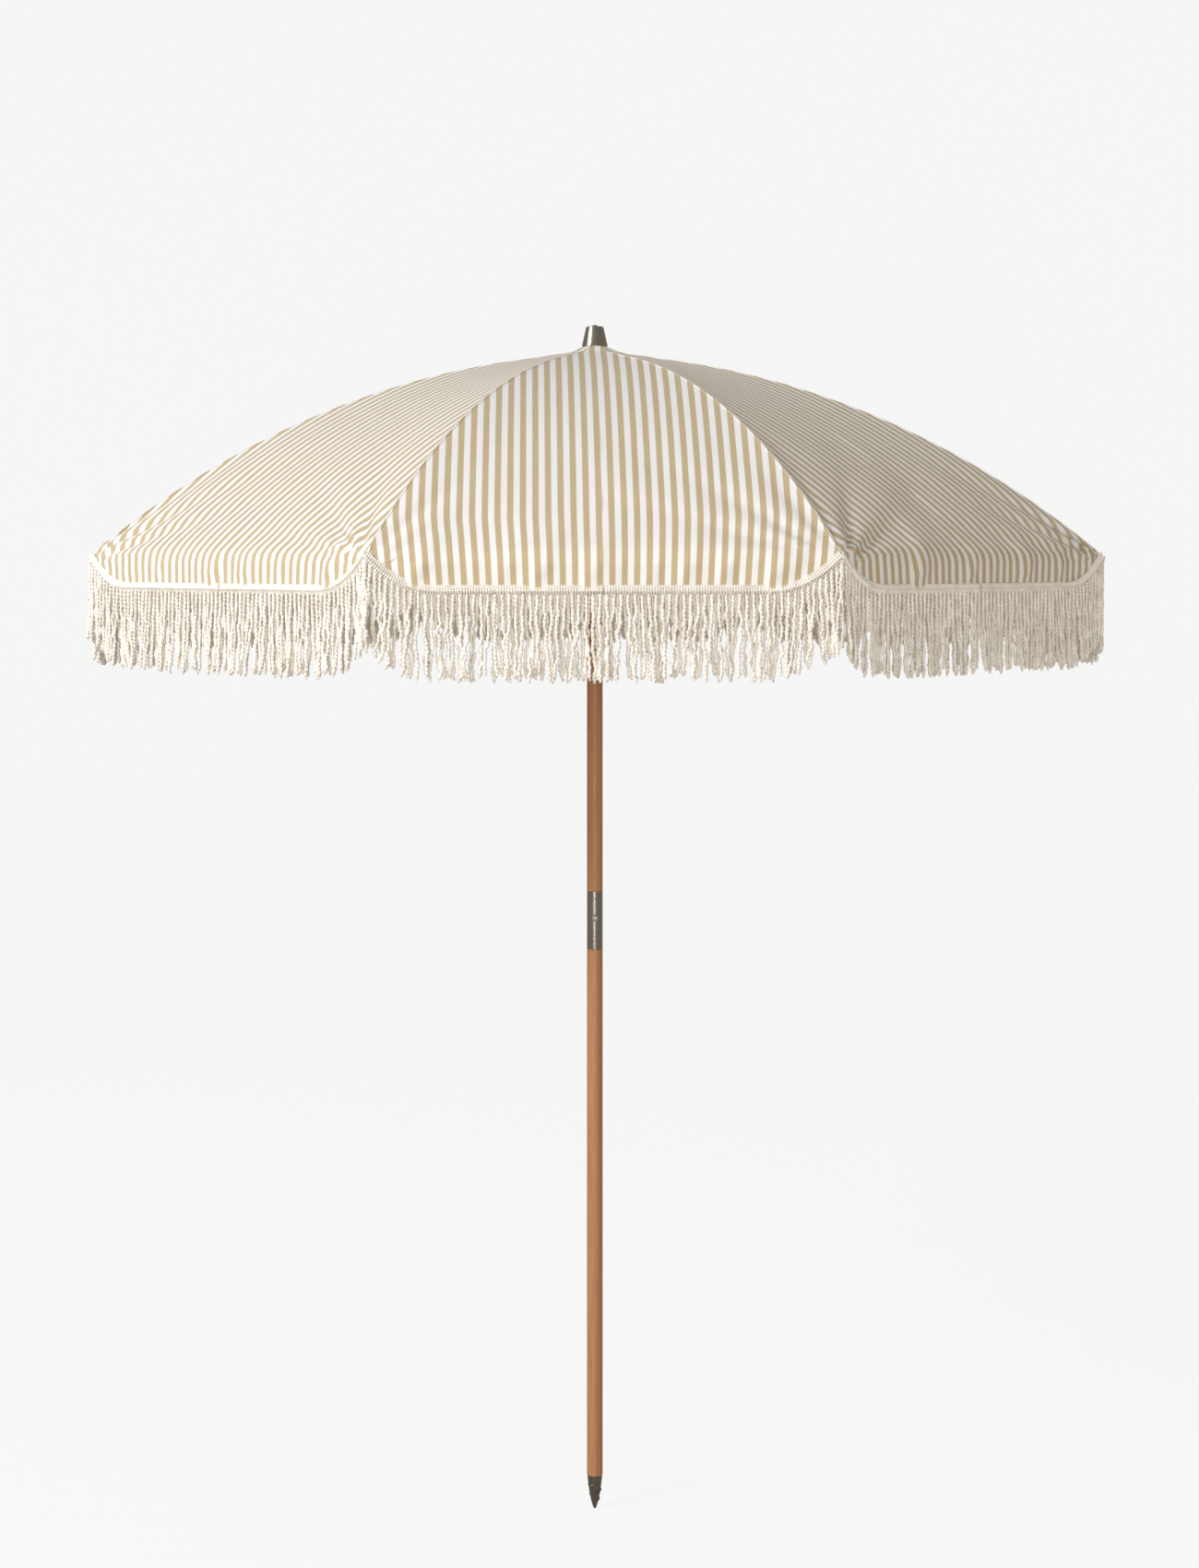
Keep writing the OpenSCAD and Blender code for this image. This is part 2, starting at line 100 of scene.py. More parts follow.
# ---------------------------------------------------------------- what a user may change
def length_prop(name, about, value, low, high):
    return bpy.props.FloatProperty(name=name, description=about, default=value, min=low, max=high,
                                   unit="LENGTH")


def colour_prop(name, about, value):
    return bpy.props.StringProperty(name=name, description=about, default=value, maxlen=7)


class CanopySizes(bpy.types.PropertyGroup):
    rib_bend: bpy.props.FloatProperty(
        name="Rib Bend", description="How far a rib curves from its hinge to its tip",
        default=math.radians(35.5), min=0.35, max=0.7, subtype="ANGLE")
    cloth_above_rib: length_prop(
        "Cloth Above Rib", "Outer face of the canvas above a rib's middle line", 0.0052, 0.004, 0.01)
    cloth_thickness: length_prop(
        "Canvas Thickness", "Thickness of the canvas", 0.0006, 0.0003, 0.0015)
    sag: length_prop(
        "Panel Sag", "Dip of a panel's middle below the line between its ribs", 0.007, 0.0, 0.02)
    eave_radius: length_prop(
        "Eave Radius", "Radius over which the canvas turns down at the hem", 0.026, 0.01, 0.05)
    hem_drop: length_prop(
        "Hem Drop", "How far the heading drops from a corner to the side", 0.050, 0.03, 0.07)
    hem_rise: length_prop(
        "Hem Rise", "Length along the hem over which it climbs to a corner", 0.105, 0.03, 0.15)
    stripe: length_prop(
        "Stripe Pitch", "Width of one beige and one white stripe together", 0.0185, 0.01, 0.04)
    crease: length_prop(
        "Creases", "Height of the tension folds that run from each corner", 0.0060, 0.0, 0.008)


class EdgeSizes(bpy.types.PropertyGroup):
    heading: length_prop(
        "Heading Height", "Height of the braided heading", 0.0145, 0.008, 0.02)
    heading_pitch: length_prop(
        "Heading Pitch", "Distance between the wraps of the heading", 0.0040, 0.002, 0.006)
    loop_pitch: length_prop(
        "Loop Pitch", "Distance between the loops on the heading's edge", 0.0040, 0.003, 0.02)
    cord_spacing: length_prop(
        "Cord Spacing", "Distance between fringe cords", 0.0050, 0.004, 0.012)
    cord_radius: length_prop(
        "Cord Radius", "Radius of a twisted fringe cord", 0.0031, 0.0015, 0.005)
    cord_length: length_prop(
        "Cord Length", "Length of a fringe cord", 0.125, 0.08, 0.16)
    cord_rings: bpy.props.IntProperty(
        name="Cord Rings", description="Cross sections along one cord", default=60, min=12, max=60)
    sway: length_prop(
        "Cord Sway", "How far the cords' ends gather or wander", 0.0085, 0.0, 0.02)
    stitch: length_prop(
        "Stitch Length", "Pitch of the seam stitches", 0.0045, 0.002, 0.008)
    seed: bpy.props.IntProperty(name="Seed", description="Seed of the cords' sway", default=7)


class FinishColours(bpy.types.PropertyGroup):
    canvas_white: colour_prop("Canvas White", "Light stripe of the canvas, as an sRGB hex", "#EBEBE9")
    canvas_beige: colour_prop("Canvas Beige", "Dark stripe of the canvas, as an sRGB hex", "#BDAA84")
    cotton: colour_prop("Cotton", "Natural cotton of the heading and the fringe", "#F2EFE6")
    # Cotton Shade colours the random darker clumps and fibres, and is also the painted shade in the grooves of the
    # cords and the heading's wraps
    cotton_shade: colour_prop("Cotton Shade", "Deep lay of the cotton cords", "#9E8260")
    beech: colour_prop("Beech", "Oiled beech", "#B8855A")
    beech_grain: colour_prop("Beech Grain", "Darker grain of the beech", "#9C6244")
    steel: colour_prop("Steel", "Brushed stainless steel", "#9A958B")
    dark_steel: colour_prop("Dark Steel", "Dark brushed steel of the sleeve and screw", "#7D7970")
    zinc: colour_prop("Zinc", "Zinc-plated spring steel", "#B4B3AE")
    nylon: colour_prop("Nylon", "Black moulded nylon", "#1C1C1D")
    backdrop: colour_prop("Backdrop", "Seamless studio paper", "#F4F4F4")


# ---------------------------------------------------------------- small tools
def linear(hex_colour):
    """An sRGB hex as linear red, green, blue and alpha."""
    parts = [int(hex_colour[k:k + 2], 16) / 255 for k in (1, 3, 5)]
    return [c / 12.92 if c <= 0.04045 else ((c + 0.055) / 1.055) ** 2.4 for c in parts] + [1.0]


def add(tree, kind, inputs=None, **settings):
    """Adds a node with its settings; an input is a socket to link or a value to set."""
    node = tree.nodes.new(kind)
    for key, value in settings.items():
        setattr(node, key, value)
    for key, value in (inputs or {}).items():
        socket = node.inputs[key]
        if isinstance(value, bpy.types.NodeSocket):
            tree.links.new(value, socket)
        elif value is not None:
            socket.default_value = value
    return node


def smooth(t):
    t = np.clip(t, 0.0, 1.0)
    return t * t * (3 - 2 * t)


def mesh_object(name, verts, faces, material=None, edges=(), shade=True):
    mesh = bpy.data.meshes.new(name)
    mesh.from_pydata([tuple(map(float, v)) for v in verts], list(edges), faces)
    mesh.update()
    piece = bpy.data.objects.new(name, mesh)
    bpy.context.scene.collection.objects.link(piece)
    if material:
        mesh.materials.append(material)
    if shade and faces:
        mesh.shade_smooth()
    return piece


def tube_faces(rings, turns, first=0, closed=False):
    """Faces that join rings of vertices in turn; closed joins the last ring to the first."""
    faces = []
    for j in range(rings if closed else rings - 1):
        here, there = first + j * turns, first + (j + 1) % rings * turns
        faces += [(here + k, there + k, there + (k + 1) % turns, here + (k + 1) % turns)
                  for k in range(turns)]
    return faces


def cloth_uvs(piece, uv_of):
    """Gives a piece its cloth coordinates, in metres; uv_of(vertex index)."""
    layer = piece.data.uv_layers.new(name="Cloth")
    for loop in piece.data.loops:
        layer.data[loop.index].uv = uv_of(loop.vertex_index)


def grow(name, base, tree, values):
    """Runs a Geometry Nodes tree on a base piece and keeps the result as a plain mesh."""
    modifier = base.modifiers.new("Grow", "NODES")
    modifier.node_group = tree
    for item in tree.interface.items_tree:
        if item.item_type == "SOCKET" and item.in_out == "INPUT" and item.name in values:
            modifier[item.identifier] = values[item.name]
    base.update_tag()
    bpy.context.view_layer.update()
    depsgraph = bpy.context.evaluated_depsgraph_get()
    mesh = bpy.data.meshes.new_from_object(base.evaluated_get(depsgraph), depsgraph=depsgraph)
    mesh.name = name
    base.modifiers.remove(modifier)
    bpy.data.objects.remove(base)
    if not mesh.polygons:
        raise RuntimeError(f"{name} came out empty")
    piece = bpy.data.objects.new(name, mesh)
    bpy.context.scene.collection.objects.link(piece)
    return piece


def new_tree(name, sockets):
    """A Geometry Nodes tree with named inputs; returns it with its input node."""
    tree = bpy.data.node_groups.new(name, "GeometryNodeTree")
    tree.interface.new_socket("Geometry", in_out="OUTPUT", socket_type="NodeSocketGeometry")
    tree.interface.new_socket("Geometry", in_out="INPUT", socket_type="NodeSocketGeometry")
    for label, kind in sockets:
        tree.interface.new_socket(label, in_out="INPUT", socket_type=f"NodeSocket{kind}")
    return tree, tree.nodes.new("NodeGroupInput")


def close_tree(tree, geometry, material):
    """Ends a tree in Realize Instances, smooth shading and Set Material."""
    real = add(tree, "GeometryNodeRealizeInstances", {0: geometry})
    soft = add(tree, "GeometryNodeSetShadeSmooth", {0: real.outputs[0]})
    done = add(tree, "GeometryNodeSetMaterial", {"Geometry": soft.outputs[0], "Material": material})
    out = tree.nodes.new("NodeGroupOutput")
    tree.links.new(done.outputs[0], out.inputs[0])


# ---------------------------------------------------------------- shape of the cloth
class Cloth:
    """The canopy's outer face: a profile over a rib, stretched straight across between two ribs."""

    def __init__(self, sizes):
        self.sizes = sizes
        chord = math.hypot(TIP_R - HINGE_R, HINGE_Z - TIP_Z)
        slope = math.atan2(HINGE_Z - TIP_Z, TIP_R - HINGE_R)
        bend = sizes.rib_bend
        self.radius = chord / 2 / math.sin(bend / 2)
        self.start = slope - bend / 2
        self.rib_length = self.radius * bend
        # radius, and height over the hinges, where the cloth climbs the finial's washer
        neck = [(0.0206, 0.0197), (0.0236, 0.0195), (0.0262, 0.0180), (0.0315, 0.0150),
                (0.0385, 0.0112), (0.0480, 0.0078), (0.0620, 0.0046), (0.0870, 0.0010)]
        points = [(r, HINGE_Z + z) for r, z in neck]
        # the long run over the rib, until the canvas turns down at the eave
        first_over_rib, step = 0.105, 0.02
        end_slope = self.start + bend
        turn = sizes.eave_radius
        reach = CORNER_R - turn * (1 - math.sin(end_slope))
        for length in np.arange(first_over_rib, self.rib_length + 0.03, step):
            r, z = self.rib(length, sizes.cloth_above_rib)
            if r >= reach:
                break
            points.append((r, z))
        r0, z0 = points[-1]
        points.append((reach, z0 - (reach - r0) * math.tan(end_slope - 0.01)))
        self.eave_z = points[-1][1] - turn * math.cos(end_slope)
        for a in np.linspace(end_slope, math.pi / 2, 9)[1:]:
            points.append((CORNER_R - turn + turn * math.sin(a), self.eave_z + turn * math.cos(a)))
        points += [(CORNER_R, self.eave_z - step * k) for k in range(1, 6)]
        # spaced evenly and eased, so that no facet shows where the stretches meet
        points = np.array(points)
        steps = np.hypot(*np.diff(points, axis=0).T)
        knots = np.concatenate([[0], np.cumsum(steps)])
        fine = np.linspace(0, knots[-1], 1400)
        curve = np.stack([np.interp(fine, knots, points[:, k]) for k in (0, 1)], 1)
        for _ in range(24):
            curve[1:-1] = curve[1:-1] * 0.5 + (curve[:-2] + curve[2:]) * 0.25
        length = np.concatenate([[0], np.cumsum(np.hypot(*np.diff(curve, axis=0).T))])
        self.s, self.r, self.z = length, curve[:, 0], curve[:, 1]
        self.eave_s = float(np.interp(-self.eave_z, -self.z, length))

    def rib(self, length, lift=0.0):
        """Point on a rib, at a length from its hinge and a height above its middle line."""
        a = self.start + length / self.radius
        r = self.radius + lift
        return (HINGE_R - self.radius * math.sin(self.start) + r * math.sin(a),
                HINGE_Z - self.radius * math.cos(self.start) + r * math.cos(a))

    def profile(self, s):
        """Radius and height over a rib, at a length s along the cloth from its middle."""
        return np.interp(s, self.s, self.r), np.interp(s, self.s, self.z)

    def heading_top(self, from_corner):
        """Height of the heading's top edge at a distance along the hem from a corner."""
        z = FRINGE_HIGH.z - 0.001
        t = np.clip(np.asarray(from_corner) / self.sizes.hem_rise, 0, 1)
        return z - self.sizes.hem_drop * (1 - (1 - t) ** 2.2)

    def folds(self, i, side, across, s, along, y):
        """Height of the folds, as a share of Creases: tension folds, ripples and gathers."""
        # tension folds fan out of the corner
        up = np.maximum(self.eave_s + 0.012 - s, 0) + 1e-4
        far = math.hypot(along, up)
        angle = math.atan2(up, along + 1e-5)
        seed = i * 3.1 + side * 1.7
        fold = math.sin(13 * angle + seed) * math.exp(-far / 0.13) * min(1, far / 0.03)
        fold += 0.55 * math.sin(27 * angle + 2 * seed) * math.exp(-far / 0.09) * min(1, far / 0.02)
        fold *= min(1.0, across * 18) * (1 - smooth((s - self.eave_s + 0.02) / 0.03))
        # a loose ripple lies along the eave
        ripple = noise.noise(Vector((y * 14, s * 5, i * 7.3))) * 0.4 * smooth((s - 0.35) / 0.5)
        ripple += noise.noise(Vector((y * 38, s * 9, i * 3.3))) * 0.22 * smooth((s - 0.8) / 0.2)
        # small gathers stand over the heading, where the hem is drawn in a little
        above = s - self.eave_s - float(self.eave_z - self.heading_top(along))
        above = min(above + 0.005, 0.0)
        gather = noise.noise(Vector((y * 27 + above * 11, 0.3, i * 5.1)))
        gather = max(gather + 0.05, 0) ** 1.3 * math.exp(above / 0.045) * min(1, 0.35 - above / 0.02)
        return fold + (ripple + 2.4 * gather) * min(1.0, across * 8)

    def point(self, i, side, across, s):
        """Outer point of panel i; side -1 is its left half, across runs from 0 at the rib to 1."""
        r, z = self.profile(s)
        x, y = r * math.cos(HALF), side * r * math.sin(HALF) * (1 - across)
        t = np.clip((s - 0.05) / (self.eave_s - 0.05), 0, 1)
        z = z - self.sizes.sag * np.sin(np.pi * t) * across * (2 - across)
        lift = self.sizes.crease * self.folds(i, side, across, s, r * math.sin(HALF) * across, y)
        # folds stand square to the cloth
        r1, z1 = self.profile(s - 0.004)
        r2, z2 = self.profile(s + 0.004)
        slope = math.atan2(z1 - z2, r2 - r1)
        x, z = x + lift * math.sin(slope), z + lift * math.cos(slope)
        a = panel_angle(i)
        return (x * math.cos(a) - y * math.sin(a), x * math.sin(a) + y * math.cos(a), float(z)), y

    def stripe_place(self, y, s):
        """Where a point lies across the cut cloth: the stripes draw together towards the hem."""
        t = s / self.eave_s
        return y * (1.0 - 0.08 * (1 - min(t, 1)) + 0.03 * max(0.0, t - 0.9) / 0.1)


def sheet_mesh(name, rows, columns, place, thickness, material):
    """A grid of cloth with UVs in metres and a real thickness on its inner side."""
    verts, uvs = [], []
    for j in range(rows + 1):
        for c in range(columns + 1):
            p, uv = place(j / rows, c / columns)
            verts.append(p)
            uvs.append(uv)
    wide = columns + 1
    faces = [(j * wide + c, j * wide + c + 1, (j + 1) * wide + c + 1, (j + 1) * wide + c)
             for j in range(rows) for c in range(columns)]
    v = np.array(verts)
    a, b, d = (v[np.array(faces)[:, k]] for k in (0, 1, 3))
    normal = np.cross(b - a, d - a)
    inside = np.array([0, 0, HINGE_Z - 1.2])
    outward = np.sum(normal * (a - inside), axis=1)
    if outward.sum() < 0:
        faces = [f[::-1] for f in faces]
    piece = mesh_object(name, verts, faces, material)
    cloth_uvs(piece, uvs.__getitem__)
    area = sum(f.area for f in piece.data.polygons)
    shell = piece.modifiers.new("Thickness", "SOLIDIFY")
    shell.thickness, shell.offset = thickness, -1.0
    depsgraph = bpy.context.evaluated_depsgraph_get()
    thick = bpy.data.meshes.new_from_object(piece.evaluated_get(depsgraph), depsgraph=depsgraph)
    thick.name = name
    thick.set_sharp_from_angle(angle=math.radians(50))
    piece.modifiers.clear()
    piece.data = thick
    return piece, area


def half_names():
    """Number, side, word and rib of each half panel; a left half hangs on its own panel's first rib."""
    for i in range(1, RIBS + 1):
        for side, word in ((-1, "left"), (1, "right")):
            rib = i if side < 0 else i % RIBS + 1
            yield i, side, word, rib


# ---------------------------------------------------------------- finishes
def finish(name, roughness, metallic=0.0, sheen=0.0):
    """A new material with its shader; constant values stay on the shader's own sockets."""
    material = bpy.data.materials.new(name)
    material.use_nodes = True
    tree = material.node_tree
    tree.nodes.clear()
    shader = add(tree, "ShaderNodeBsdfPrincipled", {"Roughness": roughness, "Metallic": metallic})
    if sheen:
        shader.inputs["Sheen Weight"].default_value = sheen
        shader.inputs["Sheen Roughness"].default_value = 0.6
    out = add(tree, "ShaderNodeOutputMaterial")
    tree.links.new(shader.outputs[0], out.inputs[0])
    return material, tree, shader


def mix_colours(tree, share, low, high):
    """A colour between two others; each is a socket or a value."""
    return add(tree, "ShaderNodeMix", {0: share, 6: low, 7: high}, data_type="RGBA").outputs[2]


def level(tree, value, from_min, from_max, to_min=0.0, to_max=1.0, kind="LINEAR"):
    return add(tree, "ShaderNodeMapRange", {0: value, 1: from_min, 2: from_max, 3: to_min, 4: to_max},
               interpolation_type=kind).outputs[0]


def math_node(tree, operation, a, b=None):
    return add(tree, "ShaderNodeMath", {0: a, 1: b}, operation=operation).outputs[0]


def relief(tree, shader, height, strength, distance):
    bump = add(tree, "ShaderNodeBump", {"Height": height, "Strength": strength, "Distance": distance})
    tree.links.new(bump.outputs[0], shader.inputs["Normal"])


def spots(tree, vector, scale, detail=3.0, rough=0.55):
    return add(tree, "ShaderNodeTexNoise", {"Vector": vector, "Scale": scale, "Detail": detail,
                                            "Roughness": rough}).outputs[0]


def stretched(tree, vector, scale):
    return add(tree, "ShaderNodeMapping", {"Vector": vector, "Scale": scale}).outputs[0]


def canvas_finish(colours, sizes):
    # Yarn-dyed polyester-cotton canvas, plain woven: matt, crisp stripe edges one yarn wide,
    # a fine tooth from the weave and a little sheen at grazing light
    material, tree, shader = finish("striped_canvas", 0.86, sheen=0.12)
    cloth = add(tree, "ShaderNodeUVMap", uv_map="Cloth").outputs[0]
    place = add(tree, "ShaderNodeSeparateXYZ", {0: cloth})
    turn = math_node(tree, "MULTIPLY", place.outputs[0], 2 * math.pi / sizes.stripe)
    wave = math_node(tree, "SINE", math_node(tree, "ADD", turn, 0.25))
    share = level(tree, wave, -0.16, 0.16)
    yarn = spots(tree, stretched(tree, cloth, (900, 14, 1)), 1.0, 2.0)
    stain = spots(tree, stretched(tree, cloth, (5, 5, 1)), 1.0, 3.0)
    beige, white = linear(colours.canvas_beige), linear(colours.canvas_white)
    dyed = mix_colours(tree, level(tree, yarn, 0.3, 0.7), [c * 0.9 for c in beige[:3]] + [1],
                       [min(1, c * 1.08) for c in beige[:3]] + [1])
    bleached = mix_colours(tree, level(tree, yarn, 0.3, 0.7), [c * 0.96 for c in white[:3]] + [1], white)
    striped = mix_colours(tree, share, dyed, bleached)
    worn = mix_colours(tree, level(tree, stain, 0.35, 0.75, 0.0, 0.09), striped, linear("#C9B99A"))
    tree.links.new(worn, shader.inputs["Base Color"])
    # threads are about 0.5 mm apart; drawn 1.1 mm apart, as coarse as they need to show
    thread = 2 * math.pi / 0.0011
    warp = math_node(tree, "SINE", math_node(tree, "MULTIPLY", place.outputs[0], thread))
    weft = math_node(tree, "SINE", math_node(tree, "MULTIPLY", place.outputs[1], thread))
    tooth = math_node(tree, "MULTIPLY", warp, weft)
    relief(tree, shader, math_node(tree, "ADD", tooth, yarn), 0.22, 0.0003)
    return material


def cotton_finish(name, colours, shade_share, groove_shade_share):
    # Natural cotton, loosely spun: matt and slightly fuzzy, with random darker clumps and fibres, and painted
    # shade in the grooves between plies and wraps
    material, tree, shader = finish(name, 0.93, sheen=0.25)
    place = add(tree, "ShaderNodeTexCoord").outputs["Object"]
    clump = spots(tree, place, 55.0, 2.0)
    fibre = spots(tree, stretched(tree, place, (900, 900, 420)), 1.0, 3.0, 0.65)
    tone = mix_colours(tree, level(tree, clump, 0.35, 0.75, 0.0, shade_share), linear(colours.cotton),
                       linear(colours.cotton_shade))
    strands = mix_colours(tree, level(tree, fibre, 0.56, 0.8, 0.0, 0.45), tone, linear(colours.cotton_shade))
    # painted shade: the grooves between plies and wraps, where pointiness is low, are darkened towards the cotton
    # shade colour
    ridge = add(tree, "ShaderNodeNewGeometry").outputs["Pointiness"]
    spun = mix_colours(tree, level(tree, ridge, 0.42, 0.53, groove_shade_share, 0.0), strands,
                       linear(colours.cotton_shade))
    tree.links.new(spun, shader.inputs["Base Color"])
    relief(tree, shader, fibre, 0.5, 0.0006)
    return material


def beech_finish(colours):
    # Turned beech, oiled: satin, fine straight grain along the pole, with the short dark ray
    # flecks of 1 to 3 mm that beech shows, and slow changes of tone
    material, tree, shader = finish("oiled_beech", 0.5)
    place = add(tree, "ShaderNodeTexCoord").outputs["Object"]
    grain = spots(tree, stretched(tree, place, (420, 420, 9)), 1.0, 5.0, 0.6)
    fleck = spots(tree, stretched(tree, place, (1500, 1500, 330)), 1.0, 1.0)
    tone = spots(tree, stretched(tree, place, (9, 9, 2.2)), 1.0, 2.0)
    wood = mix_colours(tree, level(tree, grain, 0.38, 0.7, 0.0, 0.75), linear(colours.beech),
                       linear(colours.beech_grain))
    rays = mix_colours(tree, level(tree, fleck, 0.62, 0.72, 0.0, 0.5), wood, linear("#7C4A28"))
    warm = mix_colours(tree, level(tree, tone, 0.35, 0.7, 0.0, 0.3), rays, linear("#B08059"))
    tree.links.new(warm, shader.inputs["Base Color"])
    tree.links.new(level(tree, grain, 0.3, 0.7, 0.42, 0.6), shader.inputs["Roughness"])
    relief(tree, shader, grain, 0.25, 0.0003)
    return material


def turned_metal(name, hex_colour, roughness, streaks, strength):
    # Metal brushed round its axis on the lathe: fine rings about 0.3 mm apart draw the light into upright streaks;
    # duller patches come from handling
    material, tree, shader = finish(name, roughness, metallic=1.0)
    place = add(tree, "ShaderNodeTexCoord").outputs["Object"]
    ring = spots(tree, stretched(tree, place, (6, 6, streaks)), 1.0, 3.0, 0.6)
    patch = spots(tree, place, 25.0, 2.0)
    base = linear(hex_colour)
    tone = mix_colours(tree, level(tree, ring, 0.3, 0.7), [c * 0.82 for c in base[:3]] + [1], base)
    tree.links.new(tone, shader.inputs["Base Color"])
    tree.links.new(level(tree, patch, 0.35, 0.7, roughness - 0.03, roughness + 0.05),
                   shader.inputs["Roughness"])
    relief(tree, shader, ring, strength, 0.0002)
    return material


def plated_finish(colours):
    # Zinc-plated drawn wire: half gloss, with a faint grey bloom
    material, tree, shader = finish("zinc_steel", 0.36, metallic=1.0)
    place = add(tree, "ShaderNodeTexCoord").outputs["Object"]
    bloom = spots(tree, place, 35.0, 4.0, 0.7)
    zinc = linear(colours.zinc)
    tone = mix_colours(tree, level(tree, bloom, 0.35, 0.7), [c * 0.78 for c in zinc[:3]] + [1], zinc)
    tree.links.new(tone, shader.inputs["Base Color"])
    tree.links.new(level(tree, bloom, 0.3, 0.7, 0.3, 0.46), shader.inputs["Roughness"])
    relief(tree, shader, spots(tree, place, 700.0, 2.0), 0.12, 0.0002)
    return material


def nylon_finish(colours):
    # Glass-filled nylon moulded in a spark-eroded tool: satin black with a fine pebble
    material, tree, shader = finish("black_nylon", 0.45)
    place = add(tree, "ShaderNodeTexCoord").outputs["Object"]
    pebble = spots(tree, place, 1400.0, 2.0)
    base = linear(colours.nylon)
    tone = mix_colours(tree, level(tree, pebble, 0.4, 0.7), base, [c * 1.5 for c in base[:3]] + [1])
    tree.links.new(tone, shader.inputs["Base Color"])
    tree.links.new(level(tree, pebble, 0.3, 0.7, 0.4, 0.55), shader.inputs["Roughness"])
    relief(tree, shader, pebble, 0.3, 0.0002)
    return material


def material_for(slot):
    """The finish of one slot, made once."""
    if slot in bpy.data.materials and bpy.data.materials[slot].get("made_here"):
        return bpy.data.materials[slot]
    old = bpy.data.materials.get(slot)
    if old:
        old.name = slot + "_plain"
    colours, sizes = bpy.context.scene.umbrella_colours, bpy.context.scene.umbrella_canopy
    makers = {
        "striped_canvas": lambda: canvas_finish(colours, sizes),
        # the two numbers are the share of random darker clumps, then the share of painted shade in the grooves
        "trim_cotton": lambda: cotton_finish("trim_cotton", colours, 0.25, 0.55),
        "fringe_cotton": lambda: cotton_finish("fringe_cotton", colours, 0.35, 0.85),
        "oiled_beech": lambda: beech_finish(colours),
        "brushed_steel": lambda: turned_metal("brushed_steel", colours.steel, 0.27, 1500, 0.25),
        "dark_steel": lambda: turned_metal("dark_steel", colours.dark_steel, 0.36, 1100, 0.25),
        "zinc_steel": lambda: plated_finish(colours),
        "black_nylon": lambda: nylon_finish(colours),
    }
    made = makers[slot]()
    made["made_here"] = True
    return made


# ---------------------------------------------------------------- canvas
class UMBRELLA_OT_canopy(bpy.types.Operator):
    """Makes the sixteen half panels of striped canvas, stretched over the ribs"""
    bl_idname = "umbrella.canopy"
    bl_label = "Canvas Canopy"

    def execute(self, context):
        sizes = context.scene.umbrella_canopy
        cloth = Cloth(sizes)
        canvas = material_for("striped_canvas")
        for i, side, word, rib in half_names():
            def place(v, u):
                s = v * cloth.eave_s
                p, y = cloth.point(i, side, u, s)
                return p, (cloth.stripe_place(y, s), s)

            name = f"canopy_panel_{i}_{word}"
            piece, area = sheet_mesh(name, 84, 34, place, sizes.cloth_thickness, canvas)
            body = f"panel_{i}_{word}"
            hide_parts(body)
            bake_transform(piece)
        return {"FINISHED"}


class UMBRELLA_OT_valance(bpy.types.Operator):
    """Makes the canvas that hangs under the eave down to the heading, and its facing inside the eave"""
    bl_idname = "umbrella.valance"
    bl_label = "Canvas Valance"

    def execute(self, context):
        sizes = context.scene.umbrella_canopy
        cloth = Cloth(sizes)
        canvas = material_for("striped_canvas")
        for i, side, word, rib in half_names():
            def place(v, u):
                low = min(float(cloth.heading_top(HEM_HALF * u)) - 0.008, cloth.eave_z - 0.002)
                row = v * VALANCE_ROWS - FACING_ROWS
                if row > 0:
                    s = cloth.eave_s + row / (VALANCE_ROWS - FACING_ROWS) * (cloth.eave_z - low)
                    inner = 0
                else:
                    # the facing lies just inside the canopy, and is low at the rib to clear its tip
                    s = cloth.eave_s + row / FACING_ROWS * FACING_HEIGHT * (0.06 + 0.94 * smooth(u * 7 - 0.4))
                    inner = 0.0014 * (row < 0) * min(1.0, u * 12)
                (px, py, pz), y = cloth.point(i, side, u, s)
                a = panel_angle(i)
                p = (px - inner * math.cos(a), py - inner * math.sin(a), pz - inner * 1.4)
                return p, (cloth.stripe_place(y, s), s)

            name = f"valance_{i}_{word}"
            piece, area = sheet_mesh(name, VALANCE_ROWS, 50, place, sizes.cloth_thickness, canvas)
            hang(piece, side, rib)
        return {"FINISHED"}


def hang(piece, side, rib):
    """Hangs a hem piece from its corner: it stays upright as the canopy closes."""
    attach(piece, f"fringe_{rib}")
    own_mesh(piece)


def hem_line(name, i, side, outward, height):
    """A polyline along half a hem, from its corner to the panel's middle; height(from_corner)."""
    a = panel_angle(i)
    points = []
    for t in np.linspace(0, 1, 120) ** 1.4:
        y = side * HEM_HALF * (1 - t)
        x = HEM_REACH + outward
        z = height(HEM_HALF * t)
        points.append((x * math.cos(a) - y * math.sin(a), x * math.sin(a) + y * math.cos(a), z))
    edges = [(k, k + 1) for k in range(len(points) - 1)]
    return mesh_object(name, points, [], edges=edges, shade=False)


